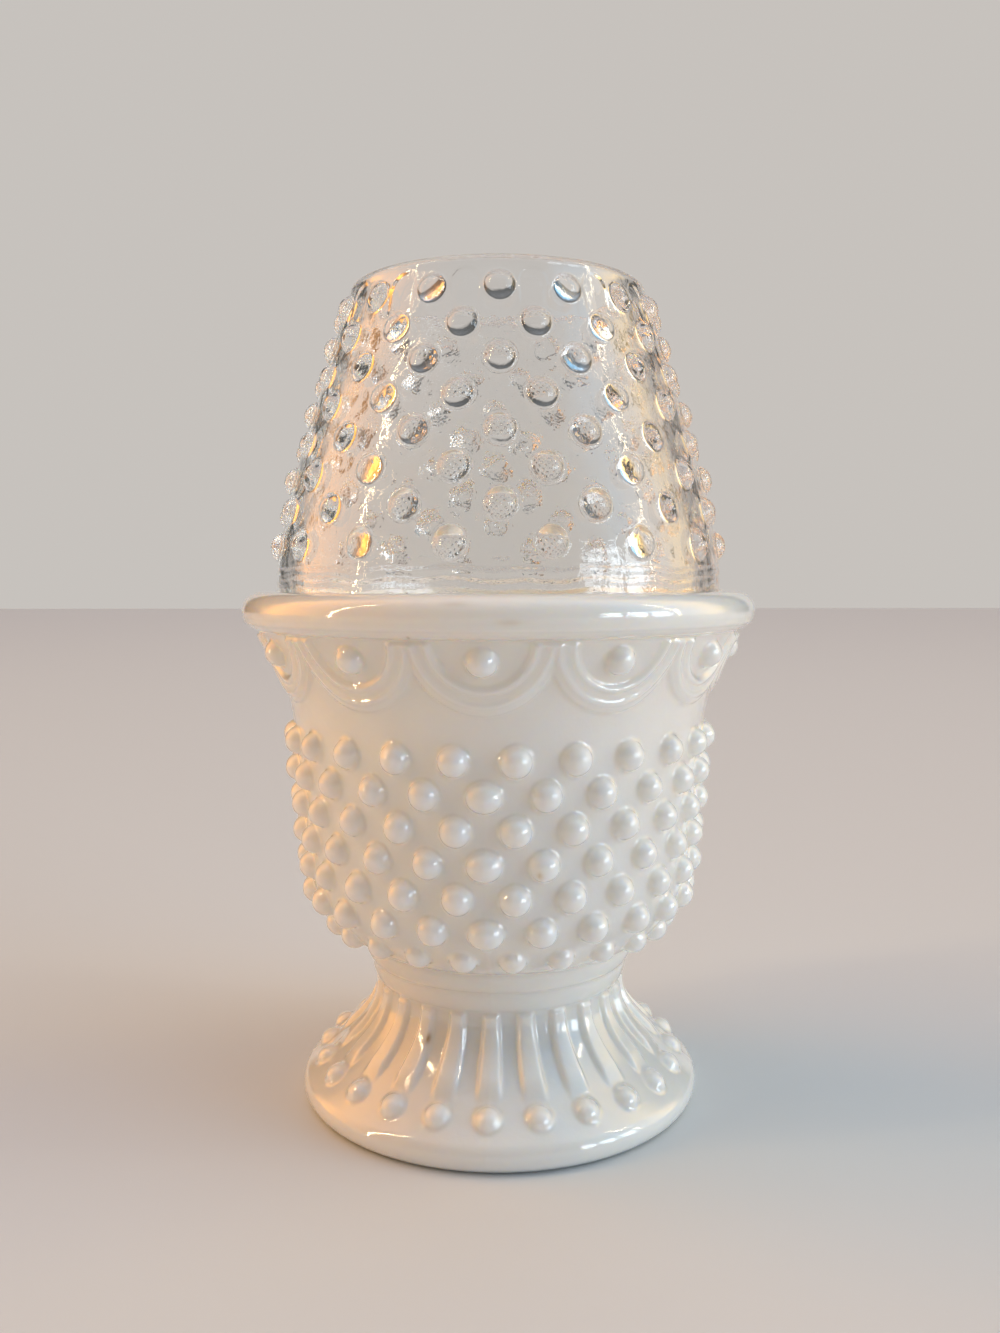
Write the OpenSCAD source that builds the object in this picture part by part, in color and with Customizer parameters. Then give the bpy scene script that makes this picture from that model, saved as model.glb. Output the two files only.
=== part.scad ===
// Two-piece pressed-glass server in a hobnail pattern: a footed milk-glass urn,
// and a clear glass shade that stands loose on a ledge inside the urn's rim.
// Millimetres, +Z up. The origin is the middle of the foot, on the table.
// The front, at -Y, is where the even rows of hobnails, a swag and a foot rib line up.

/* [Foot] */
// Radius of the foot at its widest
foot_r = 50.8; // [42:0.1:62]
// Radius of the rounding along the foot's edge
foot_edge_r = 4; // [2.5:0.1:5]
// Height from the table to the narrowest part of the neck
foot_h = 29; // [24:0.5:36]
// Radius of the neck
neck_r = 30.8; // [25:0.1:37]
// Thickness of the glass in the foot
foot_wall = 6; // [4:0.1:7.5]
// Height of the collar between the neck and the bowl
collar_h = 11.1; // [9:0.1:14]
// How far the collar widens from the neck to the bowl
collar_flare = 3.3; // [2:0.1:5]
// Radius of the two soft rings round the collar
collar_ring_r = 2.4; // [1.8:0.1:2.8]
// How deep the middle of a collar ring is sunk in the collar
collar_ring_sink = 1.5; // [1:0.1:1.7]
// Number of ribs, each ending in a hobnail
foot_ribs = 24; // [12:1:28]
// Width of a rib at the neck
rib_top_w = 2.6; // [1.5:0.1:3.5]
// Width of a rib at its hobnail
rib_foot_w = 5; // [3:0.1:7]
// How far a rib stands out of the foot
rib_rise = 1.1; // [0.5:0.1:2]
// Radius of the hobnails round the foot
foot_nail_r = 3.3; // [2.5:0.1:4]
// How deep the middle of a foot hobnail is sunk in the foot
foot_nail_sink = 1.2; // [0:0.1:1.6]

/* [Bowl] */
// Height of the hobnailed part of the bowl
belly_h = 54.9; // [44:0.1:66]
// Lean of the bowl's side, in degrees from upright
wall_lean = 5.4; // [3:0.1:8]
// Radius of the curve from the bowl's side to its underside
belly_round = 24; // [18:0.5:26]
// Thickness of the bowl's side
bowl_wall = 3.8; // [3:0.1:5]
// Thickness of glass between the bowl and the hollow foot
floor_t = 8; // [6:0.1:10]
// Rows of hobnails on the bowl
nail_rows = 7; // [4:1:7]
// Hobnails in a row
nails_per_row = 24; // [16:1:26]
// Radius of a hobnail on the bowl
nail_r = 3.5; // [2.5:0.1:4]
// Height of the plain glass above the top row's middle
nail_top_gap = 2.1; // [1:0.1:6]
// Height of the bowl below the bottom row's middle
nail_bottom_gap = 6.2; // [5:0.1:9]

/* [Rim] */
// Height of the flare between the hobnails and the rim bead
flare_h = 24.3; // [20:0.1:30]
// Radius of the rim bead's round section
bead_round = 4.8; // [4:0.1:6]
// Width of the rim, from the seat's wall to the bead's outside
rim_w = 8.1; // [7:0.1:11]
// Number of swags under the rim
swags = 12; // [8:1:14]
// Height of the points between swags, below the bead
cusp_drop = 7.6; // [5:0.1:9]
// Radius of the rope round a swag
swag_rope_r = 2.6; // [2:0.1:3]
// How deep the rope's centre is sunk in the flare
swag_sink = 1.4; // [1:0.1:1.8]
// Radius of the hobnail in a swag
swag_nail_r = 3.3; // [2.5:0.1:4]
// Height of a swag's hobnail, below the bead
swag_nail_drop = 4.5; // [4:0.1:7]

/* [Shade] */
// Radius of the shade's foot
shade_r = 55.4; // [46:0.1:67]
// Height of the shade
shade_h = 76; // [63:0.5:92]
// Thickness of the shade's glass
shade_wall = 3; // [2.2:0.1:3.6]
// Height of the upright band at the shade's foot
shade_band_h = 7; // [5:0.5:9]
// Height over which the side curves into its straight taper
shade_curve_h = 29; // [20:0.5:34]
// Slope of the side just above the band, width lost per height
shade_low_slope = 0.14; // [0.1:0.01:0.2]
// Slope of the straight taper, width lost per height
shade_top_slope = 0.32; // [0.25:0.01:0.36]
// Rows of hobnails on the shade
shade_rows = 8; // [4:1:8]
// Hobnails in a row
shade_nails_per_row = 16; // [10:1:18]
// Radius of a hobnail's ball
shade_nail_r = 3.8; // [3:0.1:4.2]
// How deep a hobnail's ball is sunk in the glass
shade_nail_sink = 1.5; // [1:0.1:2]
// Height of the bottom row's middle above the shade's foot
shade_nail_start = 12.6; // [11:0.1:16]
// Height of the shade above the top row's middle
shade_nail_top_gap = 7.7; // [6:0.1:12]
// Turn of the shade on its seat, in degrees
shade_turn = 4.1; // [-11:0.1:11]

/* [Fit] */
// Depth of the seat below the crest of the rim
seat_depth = 2; // [1.5:0.1:3]
// Width of the ledge that carries the shade
ledge_w = 5; // [4:0.1:6]
// Play all round the shade in its seat
seat_play = 0.6; // [0.3:0.1:1]
// Gap left under the shade so that the two glasses do not share a face
seat_gap = 0.1; // [0.05:0.05:0.3]

/* [Hidden] */
$fn = 96;

MILK = [0.93, 0.93, 0.90];
CLEAR = [0.80, 0.84, 0.85, 0.4];
ARC_STEPS = 5;
SHADE_STEPS = 4;
LIP_STEPS = 3;
NAIL_FN = 32;
OVER = 1;

// Heights, from the table up
collar_z = foot_h + collar_h;
waist_z = collar_z + belly_h;
bead_under_z = waist_z + flare_h;
bead_z = bead_under_z + bead_round;
rim_z = bead_z + bead_round;
ledge_z = rim_z - seat_depth;
shade_z = ledge_z + seat_gap;

// Radii: the seat takes its size from the shade, and the bowl hangs from the seat
seat_r = shade_r + seat_play;
rim_r = seat_r + rim_w;
bead_mid_r = rim_r - bead_round;
ledge_in_r = seat_r - ledge_w;
WALL_DRAFT = 3.1;
waist_in_r = ledge_in_r - WALL_DRAFT;
waist_r = waist_in_r + bowl_wall;
collar_r = neck_r + collar_flare;

// The bowl's side is a leaning line that runs into one round curve
BELLY_END = 65;
BELLY_LIFT = 0.4;
belly_mid_z = collar_z + BELLY_LIFT + belly_round * sin(BELLY_END);
belly_z = belly_mid_z - belly_round * sin(wall_lean);
belly_r = waist_r - (waist_z - belly_z) * tan(wall_lean);
belly_mid_r = belly_r - belly_round * cos(wall_lean);

function arc(mid, r, from, to, steps = ARC_STEPS) =
    [for (i = [0:steps])
        let (a = from + (to - from) * i / steps)
        [mid[0] + r * cos(a), mid[1] + r * sin(a)]];

function bezier(p, t) =
    pow(1 - t, 3) * p[0] + 3 * t * pow(1 - t, 2) * p[1]
    + 3 * t * t * (1 - t) * p[2] + pow(t, 3) * p[3];

// Outer radius of the bowl's side and curve at a height
function bowl_r(z) = z > belly_z
    ? waist_r - (waist_z - z) * tan(wall_lean)
    : belly_mid_r + sqrt(max(0, pow(belly_round, 2) - pow(belly_mid_z - z, 2)));

// Outer radius of the flare above the hobnails, a parabola that leaves the side smoothly
FLARE_TUCK = 0.5;
flare_gain = bead_mid_r + FLARE_TUCK - waist_r - flare_h * tan(wall_lean);
function flare_r(z) =
    let (d = z - waist_z)
    waist_r + d * tan(wall_lean) + flare_gain * pow(d / flare_h, 2);

// Outer radius of the shade at a height above its foot
lip_round = shade_wall / 2;
shade_bend = (shade_top_slope - shade_low_slope) / 2 / shade_curve_h;
shade_knee_r = shade_r - shade_low_slope * shade_curve_h
    - shade_bend * pow(shade_curve_h, 2);
function shade_side_r(h) =
    let (d = h - shade_band_h)
    d < 0 ? shade_r
    : d < shade_curve_h ? shade_r - shade_low_slope * d - shade_bend * d * d
    : shade_knee_r - shade_top_slope * (d - shade_curve_h);

// The foot's upper side: a cubic from its rounded edge up to the neck. Ribs end part way
FOOT_EDGE_END = 50;
FOOT_REACH = 11;
NECK_REACH = 9;
foot_edge_mid = [foot_r - foot_edge_r, foot_edge_r];
foot_edge_top = foot_edge_mid + foot_edge_r * [cos(FOOT_EDGE_END), sin(FOOT_EDGE_END)];
foot_curve = [
    foot_edge_top,
    foot_edge_top + FOOT_REACH * [-sin(FOOT_EDGE_END), cos(FOOT_EDGE_END)],
    [neck_r, foot_h - NECK_REACH],
    [neck_r, foot_h],
];
RIB_END = 0.2;
RIB_OUT = [0.7, 0.9];
NAIL_IN = [-0.6, -0.8];
COLLAR_RINGS = [0.33, 0.8];
rib_end_at = bezier(foot_curve, RIB_END);

// The hollow foot follows the upper side, a wall's thickness away in these directions
HOLLOW_IN = [-1, -0.7];
HOLLOW_SHOULDER = 2;
hollow_flat_r = neck_r / 2;

module urn_section() {
    inner_round = belly_round - bowl_wall;
    hollow_top = collar_z - floor_t / 2;
    floor_z = hollow_top + floor_t;
    inner_drop = min(inner_round, belly_mid_z - floor_z);
    difference() {
        union() {
            polygon(concat(
                [[0, 0]],
                arc(foot_edge_mid, foot_edge_r, -90, FOOT_EDGE_END),
                [for (i = [1:ARC_STEPS]) bezier(foot_curve, i / ARC_STEPS)],
                [[collar_r, collar_z]],
                arc([belly_mid_r, belly_mid_z], belly_round, -BELLY_END, -wall_lean),
                [for (i = [0:ARC_STEPS])
                    let (z = waist_z + flare_h * i / ARC_STEPS) [flare_r(z), z]],
                [[bead_mid_r, bead_z], [ledge_in_r, ledge_z]],
                [[waist_in_r, waist_z], [belly_r - bowl_wall, belly_z]],
                arc([belly_mid_r, belly_mid_z], inner_round,
                    -wall_lean, -asin(inner_drop / inner_round)),
                [[0, floor_z]]
            ));
            // the bead, and the flat land that joins it to the ledge
            translate([bead_mid_r, bead_z]) circle(r = bead_round);
            polygon([
                [ledge_in_r, ledge_z], [ledge_in_r, bead_z - bead_round],
                [bead_mid_r, bead_z - bead_round / 2], [bead_mid_r, rim_z],
                [seat_r, rim_z], [seat_r, ledge_z],
            ]);
        }
        // the hollow under the foot
        polygon(concat(
            [[0, -OVER], [foot_r - foot_wall, -OVER]],
            [[foot_r - foot_wall, 0]],
            [for (i = [2:ARC_STEPS])
                bezier(foot_curve, i / ARC_STEPS) + foot_wall * HOLLOW_IN],
            [[neck_r - foot_wall - HOLLOW_SHOULDER, hollow_top - HOLLOW_SHOULDER]],
            [[hollow_flat_r, hollow_top], [0, hollow_top]]
        ));
    }
}

module urn_collar_rings() {
    for (share = COLLAR_RINGS)
        rotate_extrude()
            translate([neck_r + collar_flare * share - collar_ring_sink,
                foot_h + collar_h * share])
                circle(r = collar_ring_r, $fn = NAIL_FN);
}

module bowl_hobnails() {
    pitch = (belly_h - nail_top_gap - nail_bottom_gap) / (nail_rows - 1);
    for (row = [0:nail_rows - 1]) {
        z = waist_z - nail_top_gap - row * pitch;
        stagger = row % 2 == 0 ? 0.5 : 0;
        for (i = [0:nails_per_row - 1])
            rotate([0, 0, -90 + (i + stagger) * 360 / nails_per_row])
                translate([bowl_r(z), 0, z])
                    sphere(r = nail_r, $fn = NAIL_FN);
    }
}

// A rounded rope round the lower half of each swag, tilted to lie on the flare
module swag_bands() {
    swag_ring_r = flare_r(bead_under_z);
    swag_r = norm([swag_ring_r * sin(180 / swags), cusp_drop]) - swag_rope_r;
    lean = atan2(flare_r(bead_under_z) - flare_r(bead_under_z - swag_r), swag_r);
    for (i = [0:swags - 1])
        rotate([0, 0, -90 + i * 360 / swags])
            translate([swag_ring_r - swag_sink, 0, bead_under_z])
                rotate([0, lean, 0])
                    rotate([0, 90, 0]) rotate([0, 0, -90])
                        rotate_extrude(angle = 180)
                            translate([swag_r, 0]) circle(r = swag_rope_r, $fn = NAIL_FN);
}

module swag_hobnails() {
    z = bead_under_z - swag_nail_drop;
    for (i = [0:swags - 1])
        rotate([0, 0, -90 + i * 360 / swags])
            translate([flare_r(z), 0, z])
                sphere(r = swag_nail_r, $fn = NAIL_FN);
}

// Each rib is a wedge cut from a shell that follows the foot and is rooted in its wall
module foot_rib_set() {
    intersection() {
        rotate_extrude()
            polygon(concat(
                [for (i = [1:ARC_STEPS])
                    bezier(foot_curve, i / ARC_STEPS) + rib_rise * RIB_OUT],
                [for (i = [ARC_STEPS:-1:1])
                    bezier(foot_curve, i / ARC_STEPS) + foot_wall / 2 * HOLLOW_IN]
            ));
        for (i = [0:foot_ribs - 1])
            rotate([0, 0, -90 + i * 360 / foot_ribs])
                linear_extrude(foot_h + OVER)
                    polygon([
                        [neck_r - OVER, -rib_top_w / 2], [rib_end_at[0], -rib_foot_w / 2],
                        [rib_end_at[0], rib_foot_w / 2], [neck_r - OVER, rib_top_w / 2],
                    ]);
    }
}

module foot_hobnails() {
    nail_at = rib_end_at + foot_nail_sink * NAIL_IN;
    for (i = [0:foot_ribs - 1])
        rotate([0, 0, -90 + i * 360 / foot_ribs])
            translate([nail_at[0], 0, nail_at[1]])
                sphere(r = foot_nail_r, $fn = NAIL_FN);
}

module milk_glass_urn() {
    color(MILK) union() {
        rotate_extrude() urn_section();
        urn_collar_rings();
        bowl_hobnails();
        swag_bands();
        swag_hobnails();
        foot_rib_set();
        foot_hobnails();
    }
}

module shade_outside() {
    top = shade_h - lip_round;
    polygon(concat(
        [[0, 0], [shade_r, 0]],
        [for (i = [0:SHADE_STEPS])
            let (h = shade_band_h + shade_curve_h * i / SHADE_STEPS) [shade_side_r(h), h]],
        arc([shade_side_r(top) - lip_round, top], lip_round, 0, 90, LIP_STEPS),
        [[0, shade_h]]
    ));
}

module shade_inside() {
    top = shade_h - lip_round;
    polygon(concat(
        [[0, -OVER], [shade_r - shade_wall, -OVER]],
        [for (i = [0:SHADE_STEPS])
            let (h = shade_band_h + shade_curve_h * i / SHADE_STEPS)
            [shade_side_r(h) - shade_wall, h]],
        [[shade_side_r(top) - shade_wall, top],
            [shade_side_r(top) - shade_wall + lip_round, shade_h + OVER],
            [0, shade_h + OVER]]
    ));
}

module shade_hobnails() {
    pitch = (shade_h - shade_nail_start - shade_nail_top_gap) / (shade_rows - 1);
    for (row = [0:shade_rows - 1]) {
        h = shade_nail_start + row * pitch;
        stagger = row % 2 == 0 ? 0.5 : 0;
        for (i = [0:shade_nails_per_row - 1])
            rotate([0, 0, -90 + (i + stagger) * 360 / shade_nails_per_row])
                translate([shade_side_r(h) - shade_nail_sink, 0, h])
                    sphere(r = shade_nail_r, $fn = NAIL_FN);
    }
}

module clear_glass_shade() {
    color(CLEAR) translate([0, 0, shade_z]) rotate([0, 0, shade_turn])
        difference() {
            union() {
                rotate_extrude() shade_outside();
                shade_hobnails();
            }
            rotate_extrude() shade_inside();
        }
}

milk_glass_urn();
clear_glass_shade();
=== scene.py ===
# %% [markdown]
# # A hobnail urn and its glass shade
# The object is two pressings of glass. A footed urn in white milk glass carries a clear shade,
# which stands loose on a ledge inside the urn's rim. Both are covered in hobnails, the round
# studs that a mould leaves on pressed glass.
#
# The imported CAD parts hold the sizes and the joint. They are loaded first, and everything made
# here takes its place from them.

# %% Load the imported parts
import math

import bpy
import numpy as np
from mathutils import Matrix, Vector


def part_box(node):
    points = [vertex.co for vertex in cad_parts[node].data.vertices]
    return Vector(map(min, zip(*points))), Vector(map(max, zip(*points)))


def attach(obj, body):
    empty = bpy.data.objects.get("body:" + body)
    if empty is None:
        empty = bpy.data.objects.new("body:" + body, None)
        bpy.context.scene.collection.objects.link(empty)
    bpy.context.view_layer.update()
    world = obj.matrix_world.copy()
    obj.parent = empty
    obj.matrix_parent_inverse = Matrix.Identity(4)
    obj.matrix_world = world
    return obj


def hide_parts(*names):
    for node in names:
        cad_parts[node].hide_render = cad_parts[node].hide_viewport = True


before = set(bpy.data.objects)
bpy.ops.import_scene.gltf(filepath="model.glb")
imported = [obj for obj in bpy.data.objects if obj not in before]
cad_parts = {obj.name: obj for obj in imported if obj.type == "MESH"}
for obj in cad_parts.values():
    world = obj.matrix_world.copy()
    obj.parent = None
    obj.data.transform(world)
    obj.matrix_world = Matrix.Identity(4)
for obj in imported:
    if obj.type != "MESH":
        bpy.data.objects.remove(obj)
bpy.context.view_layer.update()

urn_low, urn_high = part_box("milk_glass_urn")
shade_low, shade_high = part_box("clear_glass_shade")
MM = 0.001

# %% [markdown]
# ## The camera
# The camera stands close to the object and a little above its middle, as a phone does. It comes
# first, because every other choice is judged through it. Its lens is 31 mm on a 36 mm sensor,
# and it looks slightly down.

# %% Camera
CAMERA_AT = Vector((0.0179, -0.2941, 0.1332))
CAMERA_TURN = math.radians(3.4)
CAMERA_DOWN = math.radians(4.65)
CAMERA_ROLL = math.radians(0.15)
CAMERA_LENS = 31.15

camera_data = bpy.data.cameras.new("camera")
camera_data.lens = CAMERA_LENS
camera_data.sensor_width = 36
camera_data.clip_start = 0.01
camera = bpy.data.objects.new("camera", camera_data)
camera.location = CAMERA_AT
camera.rotation_euler = (math.pi / 2 - CAMERA_DOWN, CAMERA_ROLL, CAMERA_TURN)
bpy.context.scene.collection.objects.link(camera)
bpy.context.scene.camera = camera
print("camera at", [round(x, 4) for x in CAMERA_AT])

# %% [markdown]
# ## Drawing a pressed glass section
# Pressed glass is turned round an axis, so each piece starts as a section: a line of points
# that give a radius and a height. A lathe modifier would do that much, but the relief needs to
# know where each vertex lies along the section and round the axis. So the section is sampled at
# even steps here, and the mesh is built as a grid of rows and columns.
#
# Sizes are in millimetres, as a mould maker gives them, and are turned into metres at the end.

# %% Helpers for a section
def arc(middle, radius, start, end, count=48):
    """Points on an arc, in degrees from the radius direction."""
    a = np.radians(np.linspace(start, end, count))
    return np.c_[middle[0] + radius * np.cos(a), middle[1] + radius * np.sin(a)]


def cubic(p0, p1, p2, p3, count=64):
    """Points on a cubic curve."""
    t = np.linspace(0, 1, count)[:, None]
    p0, p1, p2, p3 = (np.array(p, float) for p in (p0, p1, p2, p3))
    return (1 - t) ** 3 * p0 + 3 * t * (1 - t) ** 2 * p1 + 3 * t * t * (1 - t) * p2 + t ** 3 * p3


NEARLY_STRAIGHT = 1.55


def rounded(corners):
    """A line through corners (radius, height, rounding), with each corner rounded off."""
    pts = np.array([c[:2] for c in corners], float)
    out = [pts[:1]]
    for i in range(1, len(pts) - 1):
        back, ahead = pts[i - 1] - pts[i], pts[i + 1] - pts[i]
        back, ahead = back / np.linalg.norm(back), ahead / np.linalg.norm(ahead)
        half = math.acos(float(np.clip(back @ ahead, -1, 1))) / 2
        if corners[i][2] <= 0 or half > NEARLY_STRAIGHT:
            out.append(pts[i:i + 1])
            continue
        reach = corners[i][2] / math.tan(half)
        t = np.linspace(0, 1, 16)[:, None]
        a, b = pts[i] + back * reach, pts[i] + ahead * reach
        weight = math.sin(half)
        bend = (1 - t) ** 2 + 2 * weight * t * (1 - t) + t * t
        out.append(((1 - t) ** 2 * a + 2 * weight * t * (1 - t) * pts[i] + t * t * b) / bend)
    out.append(pts[-1:])
    return np.vstack(out)


def even(line, step):
    """The line sampled at even steps along its length."""
    gap = np.hypot(*np.diff(line, axis=0).T)
    line = line[np.r_[True, gap > 1e-6]]
    along = np.r_[0, np.cumsum(np.hypot(*np.diff(line, axis=0).T))]
    at = np.linspace(0, along[-1], max(2, round(along[-1] / step) + 1))
    return np.c_[np.interp(at, along, line[:, 0]), np.interp(at, along, line[:, 1])]


def smooth(x, start, end):
    """0 at start, 1 at end, and a soft S between."""
    t = np.clip((x - start) / (end - start), 0, 1)
    return t * t * (3 - 2 * t)


def bump_at(x, middle, half):
    """A rounded ridge of height 1 at middle, gone at half to either side."""
    t = np.clip(1 - ((x - middle) / half) ** 2, 0, 1)
    return t * t


def from_nearest(turn, step):
    """The turn away from the nearest of the places that repeat every step, the first at 0."""
    return (turn + step / 2) % step - step / 2

# %% [markdown]
# ## The grid that the relief is pressed into
# A grid knows three directions at each vertex: round the axis, along the section and out of the
# glass. Relief is a move in those three directions. Displacing along the normal alone would
# stretch the steep side of a hobnail until it faceted, so a hobnail also draws the grid
# outwards round its foot, and the rows stay evenly spaced over its ball.

# %% The pressing grid
class Pressing:
    """A section turned round the axis, with relief pressed into it before it becomes a mesh."""

    def __init__(self, line, columns, closed):
        self.line, self.columns, self.closed = line, columns, closed
        ahead = np.roll(line, -1, 0) if closed else np.vstack([line[1:], line[-1:]])
        behind = np.roll(line, 1, 0) if closed else np.vstack([line[:1], line[:-1]])
        run = ahead - behind
        run /= np.maximum(np.hypot(*run.T), 1e-9)[:, None]
        self.r, self.z = line[:, 0][:, None], line[:, 1][:, None]
        self.turn = np.linspace(0, 2 * math.pi, columns, endpoint=False)[None, :]
        self.run = run
        along = np.r_[0, np.cumsum(np.hypot(*np.diff(line, axis=0).T))]
        self.along = along[:, None]
        shape = (len(line), columns)
        self.round, self.up, self.out = np.zeros(shape), np.zeros(shape), np.zeros(shape)
        # The hobnail mark carries a painted highlight for the milk glass. The stain mark holds real
        # flecks.
        self.marks = {"knob_painted_light": np.zeros(shape), "stain": np.zeros(shape)}

    def across(self, middle):
        """Distance round the axis from a turn, in radians, the short way."""
        return from_nearest(self.turn - middle, 2 * math.pi)

    def height_to_along(self, z, rows):
        """Where a height lies along the section, among the rows of one side."""
        heights, along = self.z[rows, 0], self.along[rows, 0]
        order = np.argsort(heights)
        return float(np.interp(z, heights[order], along[order]))

    def hobnail(self, turn, along, ball, sink, skirt, wide=1.0, reach=1.12):
        """Presses one hobnail: a ball sunk in the glass, with a small skirt round its foot."""
        lean = math.acos((skirt + sink) / (ball + skirt))
        foot = (ball + skirt) * math.sin(lean)
        edge = foot * reach
        rows = np.abs(self.along[:, 0] - along) < edge * 1.05
        if not rows.any():
            return
        r_here = float(np.interp(along, self.along[:, 0], self.r[:, 0]))
        half = edge * wide * 1.05 / max(r_here - 6, 1)
        first = int(math.floor((turn - half) / (2 * math.pi) * self.columns))
        last = int(math.ceil((turn + half) / (2 * math.pi) * self.columns))
        cols = np.arange(first, last + 1) % self.columns
        pick = np.ix_(rows, cols)
        x = (self.across(turn)[:, cols] * self.r[rows]) / wide
        y = np.broadcast_to(self.along[rows] - along, x.shape)
        d = np.hypot(x, y)
        inside = d < edge
        on_ball, total = ball * lean, (ball + skirt) * lean
        s = d * (total + edge - foot) / edge
        a = s / ball
        b = lean - np.clip((s - on_ball) / skirt, 0, lean)
        rho = np.where(s < on_ball, ball * np.sin(a), foot - skirt * np.sin(b))
        rise = np.where(s < on_ball, ball * np.cos(a) - sink, skirt - skirt * np.cos(b))
        rho = np.where(s > total, foot + s - total, rho)
        rise = np.where(s > total, 0, rise)
        move = np.where(inside, rho / np.maximum(d, 1e-9) - 1, 0)
        self.round[pick] += move * x * wide
        self.up[pick] += move * y
        self.out[pick] += np.where(inside, rise, 0)
        # Records where the hobnail rises, so the milk glass can paint a highlight there.
        knob_painted_light = self.marks["knob_painted_light"]
        shown = np.where(inside, smooth(rise, 0.15 * (ball - sink), 0.8 * (ball - sink)), 0)
        knob_painted_light[pick] = np.maximum(knob_painted_light[pick], shown)

    def points(self):
        """The grid's vertices in metres, with the relief applied."""
        run_r, run_z = self.run[:, 0][:, None], self.run[:, 1][:, None]
        r = self.r + self.up * run_r + self.out * run_z
        z = self.z + self.up * run_z - self.out * run_r
        turn = np.broadcast_to(self.turn, r.shape)
        x = r * np.sin(turn) + self.round * np.cos(turn)
        y = -r * np.cos(turn) + self.round * np.sin(turn)
        return np.stack([x, y, z], -1) * MM

    def mesh(self, name):
        """Builds the closed mesh, with one vertex where the section meets the axis."""
        grid = self.points()
        rows, cols = grid.shape[:2]
        verts = grid.reshape(-1, 3)
        here = np.arange(rows * cols).reshape(rows, cols)
        nxt = np.roll(here, -1, 1)
        top = np.roll(here, -1, 0) if self.closed else here[1:]
        top_n = np.roll(nxt, -1, 0) if self.closed else nxt[1:]
        low, low_n = (here, nxt) if self.closed else (here[:-1], nxt[:-1])
        faces = np.stack([low, low_n, top_n, top], -1).reshape(-1, 4).tolist()
        marks = {k: v.reshape(-1) for k, v in self.marks.items()}
        if not self.closed:
            for ring, flip in ((here[0], True), (here[-1], False)):
                pole = len(verts)
                verts = np.vstack([verts, verts[ring].mean(0)])
                marks = {k: np.r_[v, 0.0] for k, v in marks.items()}
                after = np.roll(ring, -1)
                fan = [after, ring] if flip else [ring, after]
                faces += np.stack([*fan, np.full(cols, pole)], -1).tolist()
        mesh = bpy.data.meshes.new(name)
        mesh.from_pydata(verts.tolist(), [], faces)
        mesh.polygons.foreach_set("use_smooth", np.ones(len(faces), bool))
        for mark, values in marks.items():
            layer = mesh.attributes.new(mark, "FLOAT", "POINT")
            layer.data.foreach_set("value", values.astype(np.float32))
        mesh.validate()
        mesh.update()
        piece = bpy.data.objects.new(name, mesh)
        bpy.context.scene.collection.objects.link(piece)
        print(name, "has", len(mesh.vertices), "vertices and", len(mesh.polygons), "faces")
        return piece

# %% [markdown]
# ## The urn's section
# The urn is one pressing. Its outside runs from the foot ring up the flared foot, over the
# collar, round the belly and out to the rim bead. Its inside has no undercut, because a plunger
# has to draw straight up out of it, and the ledge for the shade is the plunger's shoulder.

# %% Sizes of the urn
FOOT_R, FOOT_EDGE, FOOT_H = 50.8, 4.0, 29.0
NECK_R, COLLAR_R, COLLAR_Z = 30.8, 34.1, 40.1
FOOT_WALL, BOWL_WALL = 6.0, 3.8
WAIST_Z, LEAN, BELLY_ROUND = 95.0, 5.4, 24.0
RIM_Z = urn_high.z / MM
RIM_R = min(urn_high.x, urn_high.y, -urn_low.x, -urn_low.y) / MM
BEAD, RIM_FLAT_W, LEDGE_W, SEAT_DEPTH = 4.8, 8.1, 5.0, 2.0
BEAD_R, BEAD_Z = RIM_R - BEAD, RIM_Z - BEAD
SEAT_R = RIM_R - RIM_FLAT_W
LEDGE_R = SEAT_R - LEDGE_W
LEDGE_Z = RIM_Z - SEAT_DEPTH
WAIST_R = LEDGE_R + 0.7
BELLY_END = 65.0
BELLY_MID_Z = COLLAR_Z + 0.4 + BELLY_ROUND * math.sin(math.radians(BELLY_END))
BELLY_Z = BELLY_MID_Z - BELLY_ROUND * math.sin(math.radians(LEAN))
BELLY_R = WAIST_R - (WAIST_Z - BELLY_Z) * math.tan(math.radians(LEAN))
BELLY_MID_R = BELLY_R - BELLY_ROUND * math.cos(math.radians(LEAN))
print("rim radius", round(RIM_R, 1), "rim height", round(RIM_Z, 1), "belly radius", round(BELLY_R, 1))

# %% [markdown]
# The outside line is made of few curves, as a mould maker would cut it: an arc for the foot's
# edge, one free curve for the foot, arcs for the belly and the bead, and a parabola for the
# flare. Each starts near where the last one ends. The only sharp turns are at the collar and
# under the bead, where the real mould has them too.

# %% The urn's outside line
FOOT_EDGE_END, OUTSIDE_STEP = 50.0, 0.45
edge_mid = np.array([FOOT_R - FOOT_EDGE, FOOT_EDGE])
edge_turn = math.radians(FOOT_EDGE_END)
edge_top = edge_mid + FOOT_EDGE * np.array([math.cos(edge_turn), math.sin(edge_turn)])
edge_run = np.array([-math.sin(edge_turn), math.cos(edge_turn)])


def flare_line(count=60):
    """The flare from the hobnails to the bead: the wall's lean, then a parabola outwards."""
    under = BEAD_Z - BEAD
    gain = BEAD_R + 0.5 - WAIST_R - (under - WAIST_Z) * math.tan(math.radians(LEAN))
    z = np.linspace(WAIST_Z, under, count)
    d = z - WAIST_Z
    leaning = WAIST_R + d * math.tan(math.radians(LEAN))
    return np.c_[leaning + gain * (d / (under - WAIST_Z)) ** 2, z]


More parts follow.
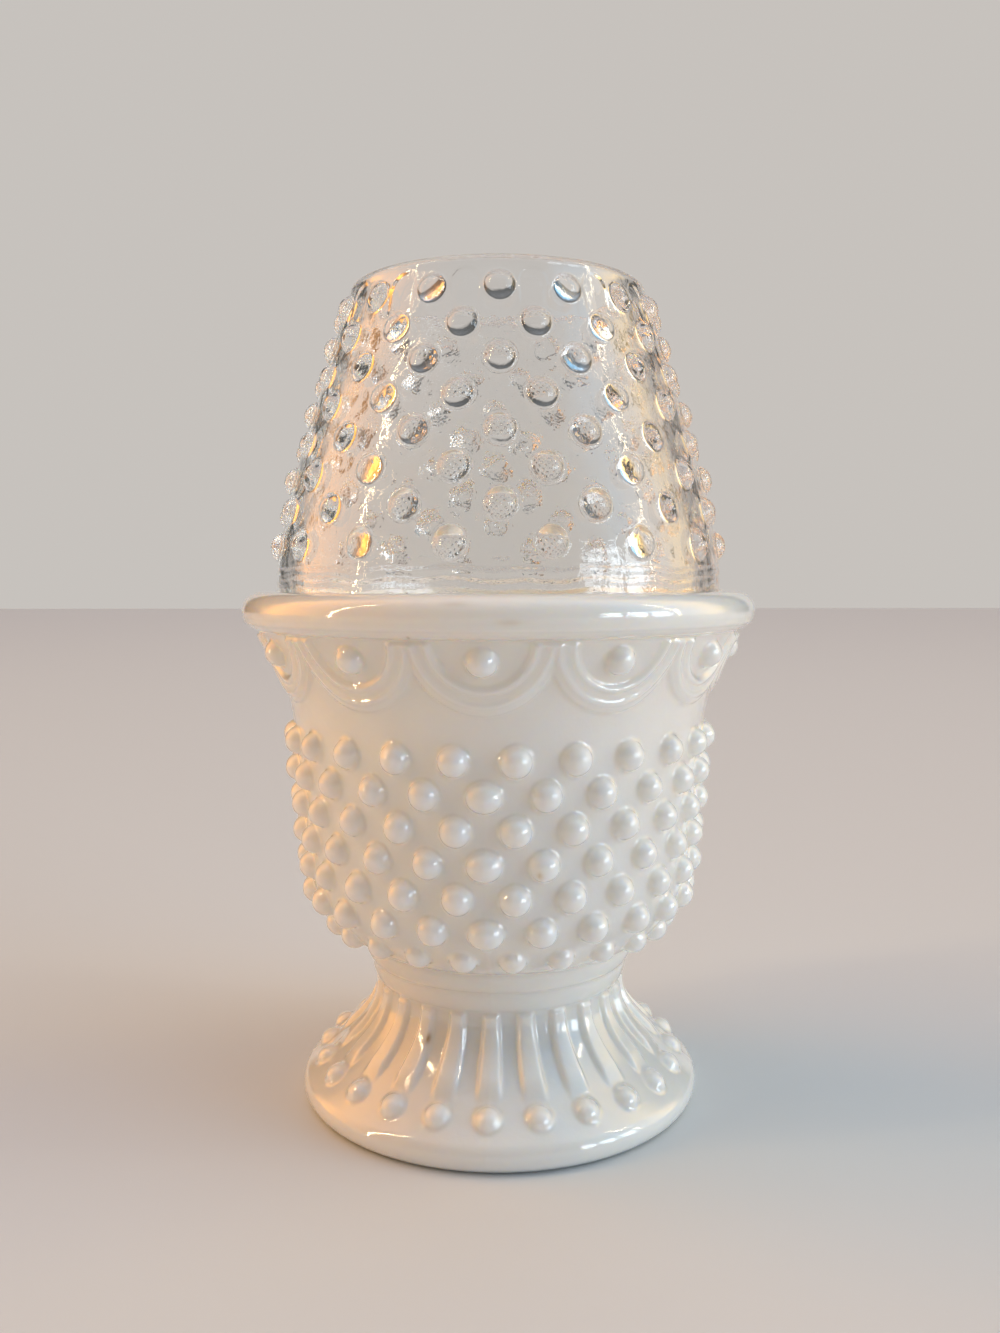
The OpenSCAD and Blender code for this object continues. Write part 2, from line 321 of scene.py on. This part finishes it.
foot_top = cubic(edge_top, edge_top + 11 * edge_run, (NECK_R, FOOT_H - 9), (NECK_R, FOOT_H))
belly = arc((BELLY_MID_R, BELLY_MID_Z), BELLY_ROUND, -BELLY_END, -LEAN)
bead = arc((BEAD_R, BEAD_Z), BEAD, -80, 90)
outside = np.vstack([
    arc(edge_mid, FOOT_EDGE, -90, FOOT_EDGE_END),
    foot_top[1:], [[COLLAR_R, COLLAR_Z]], belly, flare_line(), bead,
])
outside = even(outside, OUTSIDE_STEP)
print("outside line:", len(outside), "rows")

# %% [markdown]
# The inside is plain glass, so its rows can lie further apart, except at the ledge, where small
# roundings need close ones. The underside is hollow, as a pressed foot is, and ends in the narrow
# ring that the urn stands on.

# %% The urn's inside and underside
LEDGE_STEP, INSIDE_STEP, UNDER_STEP = 0.3, 1.8, 1.2
FLOOR_HALF, AXIS_R = 4.0, 0.6
FLOOR_Z, HOLLOW_Z = COLLAR_Z + FLOOR_HALF, COLLAR_Z - FLOOR_HALF
inner_round = BELLY_ROUND - BOWL_WALL
floor_turn = math.degrees(math.asin((BELLY_MID_Z - FLOOR_Z - 1.2) / inner_round))
inside = np.vstack([
    even(rounded([
        (BEAD_R - 0.2, RIM_Z, 0), (SEAT_R, RIM_Z, 0.8), (SEAT_R, LEDGE_Z, 0.35),
        (LEDGE_R, LEDGE_Z, 0.6), (LEDGE_R - 0.8, LEDGE_Z - 8, 0),
    ]), LEDGE_STEP),
    even(np.vstack([
        [[LEDGE_R - 0.85, LEDGE_Z - 8.5], [WAIST_R - BOWL_WALL, WAIST_Z]],
        arc((BELLY_MID_R, BELLY_MID_Z), inner_round, -LEAN, -floor_turn),
        [[8, FLOOR_Z + 0.2], [AXIS_R, FLOOR_Z]],
    ]), INSIDE_STEP),
])
under = even(rounded([
    (AXIS_R, HOLLOW_Z, 0), (16, HOLLOW_Z - 0.4, 6), (NECK_R - FOOT_WALL - 0.5, FOOT_H - 4, 8),
    (FOOT_R - 13, 9.5, 14), (FOOT_R - FOOT_WALL - 0.6, 3, 3),
    (FOOT_R - FOOT_WALL, 0.0, 0.8), (FOOT_R - FOOT_EDGE - 0.3, 0.0, 0),
]), UNDER_STEP)
urn_line = np.vstack([under, outside, inside])
outer_rows = slice(len(under), len(under) + len(outside))
print("whole section:", len(urn_line), "rows")

# %% [markdown]
# ## Hobnails on the bowl
# Seven rows of twenty-four hobnails cover the bowl, each row turned half a step from the last.
# Every hobnail is pressed separately, so the ones on the mould's seams can be a little wider, as
# they are where two halves of a mould have worn. Small seeded differences keep them from
# looking stamped by a computer.

# %% Press the bowl's hobnails
URN_COLUMNS = 720
NAILS, NAIL_ROWS = 24, 7
NAIL_TOP_Z, NAIL_BOTTOM_Z = 92.9, 46.3
NAIL_BALL, NAIL_SINK, NAIL_SKIRT = 3.55, 0.25, 0.75
LOW_ROW_SMALLER, LOW_ROW_DEEPER, SEAM_WIDE = 0.25, 0.45, 1.14
urn = Pressing(urn_line, URN_COLUMNS, closed=False)
drift = np.random.default_rng(24)

for row in range(NAIL_ROWS):
    nail_z = NAIL_TOP_Z + (NAIL_BOTTOM_Z - NAIL_TOP_Z) * row / (NAIL_ROWS - 1)
    nail_along = urn.height_to_along(nail_z, outer_rows)
    for i in range(NAILS):
        step = i + (0.5 if row % 2 == 0 else 0.0)
        on_seam = row % 2 == 1 and i % 6 == 0
        size = 1 + drift.normal(0, 0.012)
        low_row = row == NAIL_ROWS - 1
        urn.hobnail(
            2 * math.pi * step / NAILS + drift.normal(0, 0.0015),
            nail_along + drift.normal(0, 0.07),
            (NAIL_BALL - (LOW_ROW_SMALLER if low_row else 0)) * size,
            NAIL_SINK + (LOW_ROW_DEEPER if low_row else 0),
            NAIL_SKIRT,
            wide=SEAM_WIDE if on_seam else 1.0,
        )
print("hobnails on the bowl:", NAILS * NAIL_ROWS)

# %% [markdown]
# ## Swags under the rim
# Twelve swags hang under the bead. Each is a lobe of a circle: an outer step, two rolled ridges
# with a groove between them, and a sunk field that holds one hobnail. Measuring every vertex
# from the nearest lobe's centre draws all twelve at once, and makes the points between them.

# %% Press the swags
SWAGS, SWAG_MID_R, SWAG_R = 12, 56.0, 16.5
SWAG_RISE, FIELD_SINK, FIELD_R = 0.70, 0.55, 10.6
SWAG_RIDGES = ((14.0, 1.25, 0.55), (12.5, 0.5, 0.20), (11.0, 1.15, 0.55))  # from the middle, half, rise
SWAG_NAIL_Z, SWAG_NAIL = 114.8, (3.45, 0.4, 0.6)
under_bead = BEAD_Z - BEAD
out_rows = np.zeros(len(urn_line), bool)
out_rows[outer_rows] = True
on_flare = (out_rows & (urn_line[:, 1] > WAIST_Z))[:, None]
swag_step = 2 * math.pi / SWAGS
swag_d = np.hypot(SWAG_MID_R * from_nearest(urn.turn, swag_step), urn.z - under_bead)
swag = SWAG_RISE * smooth(swag_d, SWAG_R + 0.25, SWAG_R - 0.7)
for ridge_d, half, rise in SWAG_RIDGES:
    swag += rise * bump_at(swag_d, ridge_d, half)
swag -= FIELD_SINK * smooth(swag_d, FIELD_R, FIELD_R - 1.1)
swag *= smooth(urn.z, under_bead - 0.05, under_bead - 0.45)
urn.out += np.where(on_flare, swag, 0)

for i in range(SWAGS):
    urn.hobnail(i * swag_step, urn.height_to_along(SWAG_NAIL_Z, outer_rows), *SWAG_NAIL)
print("swags:", SWAGS)

# %% [markdown]
# ## Collar, ribs and foot
# Between bowl and foot the collar has two soft rings with a groove between them. Twenty-four
# flat-topped ribs run down from it, widen, and fade out just above a ring of hobnails, like
# exclamation marks.

# %% Press the collar and the foot
outer = out_rows[:, None]
RINGS = ((37.7, 2.35, 0.75), (32.7, 2.5, 0.6))  # height, half, rise
for ring_z, half, rise in RINGS:
    ring = rise * np.clip(1 - ((urn.z - ring_z) / half) ** 2, 0, 1) ** 0.6
    urn.out += np.where(outer & (urn.r < COLLAR_R + 2), ring, 0)

RIBS, RIB_RISE, RIB_HALF, RIB_WIDENS, RIB_SIDE = 24, 1.15, 1.75, 0.9, 0.75
rib_step = 2 * math.pi / RIBS
rib_x = np.abs(from_nearest(urn.turn, rib_step) * urn.r)
rib_half = RIB_HALF + RIB_WIDENS * smooth(urn.z, FOOT_H, 13.0)
rib = smooth(rib_x, rib_half + RIB_SIDE, rib_half - RIB_SIDE)
rib *= smooth(urn.z, 30.2, 29.3) * smooth(urn.z, 12.2, 16.5)
urn.out += np.where(outer & (urn.z < 31), RIB_RISE * rib, 0)

FOOT_NAIL_Z, FOOT_NAIL = 10.7, (3.4, 1.4, 1.7)
for i in range(RIBS):
    urn.hobnail(i * rib_step, urn.height_to_along(FOOT_NAIL_Z, outer_rows), *FOOT_NAIL)
print("rings:", len(RINGS), "ribs:", RIBS)

# %% [markdown]
# A mould leaves its own lines. The ring that shapes the rim meets the body mould low on the bead,
# and its joint shows as a fine ridge. The body mould opens in sections, which leave a faint seam
# at each quarter. Both are a small fraction of a millimetre high, and only catch the light.

# %% The bead's parting line and the mould's seams
PARTING_Z, PARTING_RISE, SEAM_RISE, SEAMS = 121.6, 0.22, 0.05, 4
parting = PARTING_RISE * bump_at(urn.z, PARTING_Z, 0.55)
urn.out += np.where(outer & (urn.r > BEAD_R + 3), parting, 0)
seam_x = np.abs(from_nearest(urn.turn, 2 * math.pi / SEAMS) * urn.r)
seam = smooth(seam_x, 0.7, 0.1) * smooth(urn.z, under_bead + 0.5, under_bead - 0.5)
urn.out += np.where(outer & (urn.z > 2), SEAM_RISE * seam, 0)
print("seams:", SEAMS)

# %% [markdown]
# ## Stains in the white glass
# Old milk glass has a few tan flecks, from grit in the melt, and faint yellow stains on the rim.
# Their places are painted onto the vertices as a mark called stain, which the material reads.

# %% Paint the stains
STAINS = (
    # turn in degrees, height, half width and half height in mm, strength
    (13.5, 68.6, 0.5, 0.8, 0.5), (-27.0, 22.5, 0.45, 1.1, 0.9), (-4.5, 127.0, 3.0, 0.5, 0.22),
    (5.5, 123.2, 2.6, 0.6, 0.22), (-14.0, 119.9, 0.4, 0.3, 0.6), (96.0, 60.0, 0.5, 0.6, 0.6),
    (171.0, 104.0, 0.6, 0.5, 0.5), (214.0, 18.0, 0.5, 0.9, 0.6), (251.0, 84.0, 0.5, 0.5, 0.5),
)
for turn, z, half_w, half_h, strength in STAINS:
    x = urn.across(math.radians(turn)) * urn.r
    spot = np.exp(-((x / half_w) ** 2) - ((urn.z - z) / half_h) ** 2)
    urn.marks["stain"] += np.where(outer, strength * spot, 0)

print("stains:", len(STAINS))
milk_urn = urn.mesh("milk_glass_urn_pressing")

# %% [markdown]
# ## The shade
# The shade is open at both ends, so its section is a closed loop: up the outside, over a
# fire-polished lip, and down the smooth inside. A plain upright band at its foot sits in the
# urn's seat. The side then curves in and runs straight to the lip.

# %% Sizes and section of the shade
SHADE_R, SHADE_WALL, BAND_H, SHADE_FOOT = 55.4, 3.0, 7.0, 1.2
SHADE_COLUMNS, SHADE_OUT_STEP, SHADE_IN_STEP = 960, 0.34, 0.8
SHADE_Z, SHADE_TOP = shade_low.z / MM, shade_high.z / MM
CURVE_H, LOW_SLOPE, TOP_SLOPE = 29.0, 0.14, 0.32
LIP = SHADE_WALL / 2


def shade_side(h):
    """The shade's outside radius at a height above its foot."""
    d = np.clip(h - BAND_H, 0, None)
    curved = np.minimum(d, CURVE_H)
    bend = (TOP_SLOPE - LOW_SLOPE) / 2 / CURVE_H
    return SHADE_R - LOW_SLOPE * curved - bend * curved ** 2 - TOP_SLOPE * (d - curved)


lip_h = SHADE_TOP - SHADE_Z - LIP
side_h = np.linspace(SHADE_FOOT, lip_h, 200)
side = np.c_[shade_side(side_h), SHADE_Z + side_h]
lip = arc((shade_side(lip_h) - LIP, SHADE_Z + lip_h), LIP, 0, 180, 24)
foot_z, foot_in_r = SHADE_Z + SHADE_FOOT, SHADE_R - SHADE_WALL + SHADE_FOOT
foot_out = arc((SHADE_R - SHADE_FOOT, foot_z), SHADE_FOOT, -90, 0, 12)
foot_in = arc((foot_in_r, foot_z), SHADE_FOOT, 180, 270, 12)
shade_out = even(np.vstack([foot_out, side, lip[:12]]), SHADE_OUT_STEP)
shade_in = even(np.vstack([lip[12:], side[::-1] - [SHADE_WALL, 0], foot_in]), SHADE_IN_STEP)
shade = Pressing(np.vstack([shade_out, shade_in]), SHADE_COLUMNS, closed=True)
print("shade section:", len(shade.line), "rows")

# %% [markdown]
# ## Hobnails and panels on the shade
# Eight rows of sixteen hobnails climb the shade, each row turned half a step from the last. They
# are pressed like the bowl's, with a wider skirt, and the places where the inside will dimple are
# gathered on the way.

# %% Press the shade
SHADE_ROWS, SHADE_NAILS, SHADE_TURN = 8, 16, math.radians(4.1)
SHADE_NAIL_LOW, SHADE_NAIL_HIGH = 12.6, 68.3
SHADE_BALL, SHADE_SINK, SHADE_SKIRT = 3.9, 1.70, 1.10
DIMPLE, DIMPLE_WIDE, PANEL_RISE, RIPPLE_RISE = 0.16, 3.1, 0.30, 0.035
out_side = np.zeros(len(shade.line), bool)
out_side[:len(shade_out)] = True
shade_step = 2 * math.pi / SHADE_NAILS
behind = np.zeros_like(shade.out)
for row in range(SHADE_ROWS):
    share = row / (SHADE_ROWS - 1)
    nail_h = SHADE_NAIL_LOW + (SHADE_NAIL_HIGH - SHADE_NAIL_LOW) * share
    nail_along = shade.height_to_along(SHADE_Z + nail_h, slice(0, len(shade_out)))
    stagger = 0.5 if row % 2 == 0 else 0.0
    for i in range(SHADE_NAILS):
        turn = SHADE_TURN + shade_step * (i + stagger) + drift.normal(0, 0.002)
        size = 1 + drift.normal(0, 0.015)
        along = nail_along + drift.normal(0, 0.08)
        shade.hobnail(turn, along, SHADE_BALL * size, SHADE_SINK, SHADE_SKIRT)
        x = shade.across(turn) * shade.r
        behind += np.exp(-(x ** 2 + (shade.z - SHADE_Z - nail_h) ** 2) / DIMPLE_WIDE ** 2)
print("hobnails on the shade:", SHADE_ROWS * SHADE_NAILS)

# %% [markdown]
# Round the lip runs a band a fraction of a millimetre proud, and between the top hobnails it
# drops to arched panels. The inside is only nearly smooth: the glass shrank back a little behind
# each hobnail as it cooled. Those shallow dimples, and the ripples in the plain band, are what
# make the view through it swim.

# %% The lip's panels, the dimples and the ripples
top_z = SHADE_Z + SHADE_NAIL_HIGH
x_top = np.abs(from_nearest(shade.turn - SHADE_TURN, shade_step) * shade.r)
arch = np.hypot(x_top - shade_step * shade.r / 2, np.clip(shade.z - top_z - 1.2, 0, None))
panel = smooth(arch, 2.9, 3.5) * smooth(shade.z, top_z - 6.5, top_z - 1.5)
panel *= smooth(shade.z, SHADE_TOP - 0.4, SHADE_TOP - 1.6)
shade.out += np.where(out_side[:, None], PANEL_RISE * panel, 0)
ripple = np.sin(shade.z * 2.6 + 0.9 * np.sin(9 * shade.turn) + 0.7 * np.sin(23 * shade.turn + 1))
ripple *= smooth(shade.z, SHADE_Z + 13, SHADE_Z + 5)
shade.out += np.where(out_side[:, None], RIPPLE_RISE * ripple, -DIMPLE * behind)
clear_shade = shade.mesh("clear_glass_shade_pressing")

# %% [markdown]
# ## Relief that both glasses share
# Pressed glass is polished in a flame after it leaves the mould. That melts the surface into
# long shallow waves, which break up every reflection. Both materials use the same node group
# for these waves, and another for the smears that hands leave. The groups give out values only,
# and each material keeps its own shader.

# %% Shared node groups
def new_group(name, inputs, outputs):
    """A node group with named float inputs (name, default) and float outputs."""
    group = bpy.data.node_groups.new(name, "ShaderNodeTree")
    for label, default in inputs:
        socket = group.interface.new_socket(label, in_out="INPUT", socket_type="NodeSocketFloat")
        socket.default_value = default
    for label in outputs:
        group.interface.new_socket(label, in_out="OUTPUT", socket_type="NodeSocketFloat")
    return group, group.nodes.new("NodeGroupInput"), group.nodes.new("NodeGroupOutput")


def add(tree, kind, **values):
    """A node with its settings given by name."""
    node = tree.nodes.new(kind)
    for key, value in values.items():
        setattr(node, key, value)
    return node


def math_node(tree, operation, a, b=None):
    """One math node whose inputs are sockets or numbers."""
    node = add(tree, "ShaderNodeMath", operation=operation)
    for slot, value in enumerate((a, b)):
        if value is None:
            continue
        if isinstance(value, (int, float)):
            node.inputs[slot].default_value = value
        else:
            tree.links.new(value, node.inputs[slot])
    return node.outputs[0]


def noise(tree, where, scale, detail=2.0, rough=0.5, distort=0.0):
    """A noise texture over object coordinates."""
    node = add(tree, "ShaderNodeTexNoise")
    tree.links.new(where, node.inputs["Vector"])
    if isinstance(scale, (int, float)):
        node.inputs["Scale"].default_value = scale
    else:
        tree.links.new(scale, node.inputs["Scale"])
    node.inputs["Detail"].default_value = detail
    node.inputs["Roughness"].default_value = rough
    node.inputs["Distortion"].default_value = distort
    return node.outputs["Fac"]


def make_fire_polish():
    """Waves left by flame polishing: a height, from long swells and short ripples."""
    group, given, out = new_group("fire_polish", (("Swell", 1.0), ("Ripple", 0.3)), ("Height",))
    where = add(group, "ShaderNodeTexCoord").outputs["Object"]
    swell = math_node(group, "MULTIPLY", noise(group, where, 130.0, 1.0), given.outputs["Swell"])
    ripple = noise(group, where, 520.0, 2.0, 0.55, 0.4)
    ripple = math_node(group, "MULTIPLY", ripple, given.outputs["Ripple"])
    group.links.new(math_node(group, "ADD", swell, ripple), out.inputs["Height"])
    return group


def make_handling():
    """Smears from hands and polishing: a mask of soft patches with fine streaks in them."""
    group, given, out = new_group("handling_marks", (("Cover", 0.5),), ("Mask",))
    where = add(group, "ShaderNodeTexCoord").outputs["Object"]
    patch = noise(group, where, 28.0, 3.0, 0.6)
    streak = noise(group, where, 900.0, 2.0, 0.7)
    edge = math_node(group, "SUBTRACT", 1.0, given.outputs["Cover"])
    patch = math_node(group, "SUBTRACT", patch, edge)
    patch = math_node(group, "MULTIPLY", patch, 4.0)
    node = add(group, "ShaderNodeClamp")
    group.links.new(math_node(group, "MULTIPLY", patch, streak), node.inputs["Value"])
    group.links.new(node.outputs[0], out.inputs["Mask"])
    return group


fire_polish, handling = make_fire_polish(), make_handling()
print("shared groups:", fire_polish.name, handling.name)

# %% [markdown]
# ## Milk glass
# Milk glass is clear glass clouded with fine crystals. Light enters it, scatters and comes out
# a few millimetres away, which softens every shadow in the relief, so the material needs
# subsurface scattering under a sharp, glassy reflection. Each hobnail is painted a little cooler
# and whiter than the wall, a painted highlight for the extra light that its thick glass gathers.
# The stain mark adds its flecks, and the ring that rubs on the table is scuffed matt.

# %% Milk glass material
def new_material(name):
    material = bpy.data.materials.new(name)
    material.use_nodes = True
    return material, material.node_tree, material.node_tree.nodes["Principled BSDF"]


def use_group(tree, group, **values):
    """Places a shared group and sets its inputs."""
    node = add(tree, "ShaderNodeGroup", node_tree=group)
    for label, value in values.items():
        node.inputs[label].default_value = value
    return node


def mix_colour(tree, factor, a, b):
    """Mixes two colours, each a socket or an RGB value."""
    node = add(tree, "ShaderNodeMix", data_type="RGBA")
    if isinstance(factor, (int, float)):
        node.inputs["Factor"].default_value = factor
    else:
        tree.links.new(factor, node.inputs["Factor"])
    for label, value in (("A", a), ("B", b)):
        socket = next(s for s in node.inputs if s.name == label and s.type == "RGBA")
        if isinstance(value, tuple):
            socket.default_value = (*value, 1)
        else:
            tree.links.new(value, socket)
    return next(s for s in node.outputs if s.type == "RGBA")


def read_mark(tree, mark):
    """Reads a mark painted on the vertices."""
    return add(tree, "ShaderNodeAttribute", attribute_name=mark).outputs["Fac"]


def polished_normal(tree, shader, swell, ripple, depth):
    """Bumps a shader's surface with the flame's waves."""
    waves = use_group(tree, fire_polish, Swell=swell, Ripple=ripple)
    bump = add(tree, "ShaderNodeBump")
    bump.inputs["Strength"].default_value = 1.0
    bump.inputs["Distance"].default_value = depth
    tree.links.new(waves.outputs["Height"], bump.inputs["Height"])
    tree.links.new(bump.outputs["Normal"], shader.inputs["Normal"])


def make_milk_glass():
    material, tree, shader = new_material("milk_glass")
    where = add(tree, "ShaderNodeTexCoord").outputs["Object"]
    cloud = noise(tree, where, 42.0, 3.0, 0.55)
    wall = mix_colour(tree, cloud, (0.805, 0.795, 0.765), (0.850, 0.845, 0.825))
    # Painted highlight: hobnails tinted cooler and whiter for the light that their thick glass gathers.
    knob_painted_light = math_node(tree, "MULTIPLY", read_mark(tree, "knob_painted_light"), 0.6)
    glass = mix_colour(tree, knob_painted_light, wall, (0.820, 0.835, 0.840))
    stained = mix_colour(tree, read_mark(tree, "stain"), glass, (0.34, 0.22, 0.07))
    height = add(tree, "ShaderNodeSeparateXYZ")
    tree.links.new(where, height.inputs[0])
    worn = add(tree, "ShaderNodeMapRange", interpolation_type="SMOOTHSTEP")
    tree.links.new(height.outputs["Z"], worn.inputs["Value"])
    worn.inputs["From Min"].default_value = 0.0010
    worn.inputs["From Max"].default_value = 0.0002
    scuffed = mix_colour(tree, worn.outputs[0], stained, (0.60, 0.58, 0.54))
    tree.links.new(scuffed, shader.inputs["Base Color"])
    marks = use_group(tree, handling, Cover=0.5).outputs["Mask"]
    rough = math_node(tree, "MULTIPLY", marks, 0.07)
    rough = math_node(tree, "ADD", rough, 0.03)
    scuff = math_node(tree, "MULTIPLY", worn.outputs[0], 0.4)
    tree.links.new(math_node(tree, "ADD", rough, scuff), shader.inputs["Roughness"])
    shader.inputs["IOR"].default_value = 1.55
    shader.inputs["Coat Weight"].default_value = 1.0
    shader.inputs["Coat Roughness"].default_value = 0.02
    shader.inputs["Subsurface Weight"].default_value = 1.0
    shader.inputs["Subsurface Radius"].default_value = (1.0, 0.85, 0.65)
    shader.inputs["Subsurface Scale"].default_value = 0.010
    polished_normal(tree, shader, swell=1.0, ripple=0.20, depth=0.00022)
    return material


milk_glass = make_milk_glass()
print("material:", milk_glass.name)

# %% [markdown]
# ## Clear glass
# The shade is ordinary clear glass, so it is one shader with full transmission and the
# refraction of glass. A closed mesh with a real wall is what makes the hobnails work as lenses.
# Lamps would cast it as a dark shadow, so shadow rays pass through a transparent shader instead.

# %% Clear glass material
def make_clear_glass():
    material, tree, shader = new_material("clear_glass")
    shader.inputs["Base Color"].default_value = (0.985, 0.982, 0.975, 1)
    shader.inputs["IOR"].default_value = 1.5
    shader.inputs["Transmission Weight"].default_value = 1.0
    marks = use_group(tree, handling, Cover=0.42).outputs["Mask"]
    rough = math_node(tree, "MULTIPLY", marks, 0.02)
    tree.links.new(rough, shader.inputs["Roughness"])
    polished_normal(tree, shader, swell=1.0, ripple=0.16, depth=0.00030)
    see_through = add(tree, "ShaderNodeBsdfTransparent")
    see_through.inputs["Color"].default_value = (0.86, 0.86, 0.85, 1)
    pick = add(tree, "ShaderNodeMixShader")
    tree.links.new(add(tree, "ShaderNodeLightPath").outputs["Is Shadow Ray"], pick.inputs[0])
    tree.links.new(shader.outputs[0], pick.inputs[1])
    tree.links.new(see_through.outputs[0], pick.inputs[2])
    tree.links.new(pick.outputs[0], tree.nodes["Material Output"].inputs["Surface"])
    return material


clear_glass = make_clear_glass()
print("material:", clear_glass.name)

# %% [markdown]
# ## Joining the pieces to the parts
# Each pressing takes its material, rides on its CAD body, and stands in for the plain CAD solid.
# The shade rides on its own body, so it lifts off the urn when the joint moves.

# %% Ride and replace
for piece, material, body, node, slot in (
    (milk_urn, milk_glass, "urn", "milk_glass_urn", "milk_glass"),
    (clear_shade, clear_glass, "shade", "clear_glass_shade", "clear_glass"),
):
    piece.data.materials.append(material)
    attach(piece, body)
    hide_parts(node)
    print(piece.name, "rides on", body)

# %% [markdown]
# ## The studio
# The studio is a plain pale floor and soft light from both sides, warm on the left and cool on
# the right, so that the white glass turns from cream to grey across its front. The floor is a
# little cooler than the sky, because it also lights the urn from below.

# %% Floor
STUDIO_HALF = 4.0
floor_mesh = bpy.data.meshes.new("floor")
floor_corners = [(x * STUDIO_HALF, y * STUDIO_HALF, 0) for x, y in ((-1, -1), (1, -1), (1, 1), (-1, 1))]
floor_mesh.from_pydata(floor_corners, [], [(0, 1, 2, 3)])
floor = bpy.data.objects.new("floor", floor_mesh)
bpy.context.scene.collection.objects.link(floor)
floor_material, floor_tree, floor_shader = new_material("floor")
floor_shader.inputs["Base Color"].default_value = (0.72, 0.755, 0.79, 1)
floor_shader.inputs["Roughness"].default_value = 0.6
floor_mesh.materials.append(floor_material)
print("floor:", 2 * STUDIO_HALF, "m wide")

# %% [markdown]
# Clear glass shows only what it bends and reflects, so in an even room it would all but vanish.
# The sky that the camera sees is plain and pale, and the sky that lights the glass is another
# one. It is bright at the sides and dark at the front and back, which draws a dark and light edge
# round each hobnail. A pale card straight behind keeps the middle of the shade bright.

# %% Sky
SEEN_SKY = (0.57, 0.54, 0.51)
TOP_LIGHT = (0.95, 1.08, 1.25)
TOP_FADE = 6.0
CARD_FROM, CARD_TO = 0.80, 0.86
BEHIND = (0.07, 0.07, 0.065)
ROUND_LIGHT = (
    # turn in degrees from the front, left being negative, and the colour there
    (-180, BEHIND), (-124, BEHIND), (-110, (2.90, 1.25, 0.28)), (-92, (2.30, 0.95, 0.20)),
    (-65, (0.42, 0.18, 0.06)), (-30, (0.05, 0.05, 0.05)), (10, (0.05, 0.05, 0.05)),
    (45, (0.06, 0.08, 0.10)), (72, (0.35, 0.85, 1.30)), (95, (1.60, 1.50, 1.35)),
    (110, (2.40, 1.65, 0.65)), (124, BEHIND), (180, BEHIND),
)


def make_sky():
    world = bpy.data.worlds.new("sky")
    bpy.context.scene.world = world
    world.use_nodes = True
    tree = world.node_tree
    seen = tree.nodes["Background"]
    seen.inputs["Color"].default_value = (*SEEN_SKY, 1)
    lighting = add(tree, "ShaderNodeBackground")
    split = add(tree, "ShaderNodeSeparateXYZ")
    tree.links.new(add(tree, "ShaderNodeTexCoord").outputs["Generated"], split.inputs[0])
    ramp = add(tree, "ShaderNodeValToRGB")
    ahead = math_node(tree, "MULTIPLY", split.outputs["Y"], -1.0)
    turn = math_node(tree, "ARCTAN2", split.outputs["X"], ahead)
    turn = math_node(tree, "MULTIPLY", turn, 1 / (2 * math.pi))
    tree.links.new(math_node(tree, "ADD", turn, 0.5), ramp.inputs["Fac"])
    stops = ramp.color_ramp.elements
    stops[1].position = 1.0
    for place, _ in ROUND_LIGHT[1:-1]:
        stops.new(0.5 + place / 360)
    for stop, (_, colour) in zip(stops, ROUND_LIGHT):
        stop.color = (*colour, 1)
    above = math_node(tree, "MAXIMUM", split.outputs["Z"], 0.0)
    above = math_node(tree, "POWER", above, TOP_FADE)
    sky = mix_colour(tree, above, ramp.outputs["Color"], TOP_LIGHT)
    card = add(tree, "ShaderNodeMapRange", interpolation_type="SMOOTHSTEP")
    tree.links.new(split.outputs["Y"], card.inputs["Value"])
    card.inputs["From Min"].default_value = CARD_FROM
    card.inputs["From Max"].default_value = CARD_TO
    sky = mix_colour(tree, card.outputs[0], sky, SEEN_SKY)
    tree.links.new(sky, lighting.inputs["Color"])
    pick = add(tree, "ShaderNodeMixShader")
    tree.links.new(add(tree, "ShaderNodeLightPath").outputs["Is Camera Ray"], pick.inputs[0])
    tree.links.new(lighting.outputs[0], pick.inputs[1])
    tree.links.new(seen.outputs[0], pick.inputs[2])
    tree.links.new(pick.outputs[0], tree.nodes["World Output"].inputs["Surface"])


make_sky()
print("colours round the sky:", len(ROUND_LIGHT))

# %% [markdown]
# The sky alone gives no glints. Two tall narrow lamps on the sides draw the thin warm streaks,
# and three panes on the right stand for a window, whose bars show in the rim and the shade. They
# stand well back, so that the patch of floor that each lights is far from the object.

# %% Lamps
LAMP_AWAY = 2.4


def lamp(name, turn, height, size, colour, strength):
    """A rectangular lamp that faces the object; strength is its brightness, not its power."""
    data = bpy.data.lights.new(name, "AREA")
    data.shape = "RECTANGLE"
    data.size, data.size_y = size
    data.color = colour
    data.energy = strength * math.pi * size[0] * size[1]
    item = bpy.data.objects.new(name, data)
    a = CAMERA_TURN + math.radians(turn)
    item.location = Vector((math.sin(a), -math.cos(a), 0)) * LAMP_AWAY + Vector((0, 0, height))
    item.rotation_euler = (math.pi / 2, 0, a)
    bpy.context.scene.collection.objects.link(item)


WINDOW_TURNS = (48, 60, 72)
lamp("warm_strip", -74, 1.83, (0.042, 3.6), (1.0, 0.76, 0.44), 50)
for pane, pane_turn in enumerate(WINDOW_TURNS):
    lamp(f"cool_window_{pane}", pane_turn, 0.42, (0.36, 0.78), (0.84, 0.93, 1.0), 6.0)
lamp("warm_sliver", 81, 1.53, (0.030, 3.0), (1.0, 0.85, 0.60), 30)
print("lamps:", 2 + len(WINDOW_TURNS))

# %% [markdown]
# The standard view keeps the white glass as bright as it is, where a filmic one would grey it.
# Light is turned back many times inside thick glass, and with few bounces the hobnails would go
# black, so the bounces are raised.

# %% View and bounces
BOUNCES = 40
bpy.context.scene.view_settings.view_transform = "Standard"
cycles = bpy.context.scene.cycles
cycles.max_bounces = BOUNCES
cycles.transmission_bounces = BOUNCES
cycles.glossy_bounces = BOUNCES
print("bounces:", BOUNCES)
